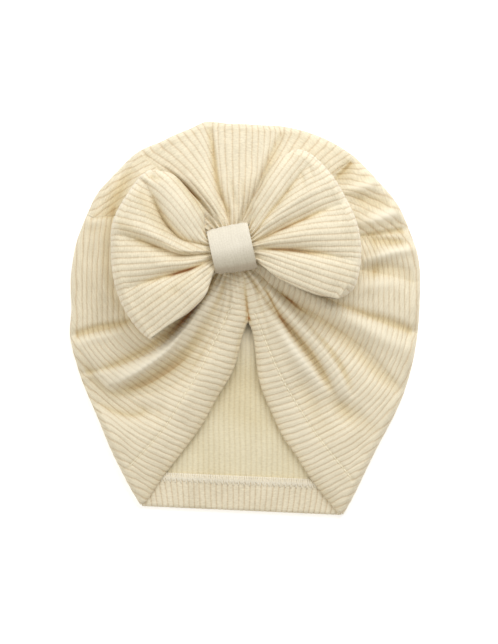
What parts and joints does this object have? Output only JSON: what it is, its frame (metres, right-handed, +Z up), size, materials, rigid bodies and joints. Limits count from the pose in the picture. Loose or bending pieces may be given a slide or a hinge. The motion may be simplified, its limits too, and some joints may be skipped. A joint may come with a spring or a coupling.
{
  "type": "toddler's turban hat with a bow",
  "caption": "Soft rib-velour turban hat for a small child, lying flat: a gathered cap with a parted front, a looped bow and a knot band.",
  "frame": {"origin": "centre of the hat's outline, on the surface that it lies on", "axes": "+Y from the open hem to the top of the crown, +X to the right as the front is looked at, +Z up from the surface towards the bow"},
  "size_m": [0.1746, 0.1963, 0.0327],
  "materials": {
    "cap_cloth": "cream rib velour, matt with a soft nap",
    "hem_cloth": "cream rib velour, turned in and stitched",
    "bow_cloth": "cream rib velour, matt with a soft nap",
    "band_cloth": "pale cream fine knit, matt"
  },
  "bodies": {
    "root": {"crown": "cap_cloth", "hem_back": "hem_cloth", "hem_left": "hem_cloth", "hem_right": "hem_cloth", "bow_left": "bow_cloth", "bow_right": "bow_cloth", "knot_band": "band_cloth"}
  },
  "joints": []
}
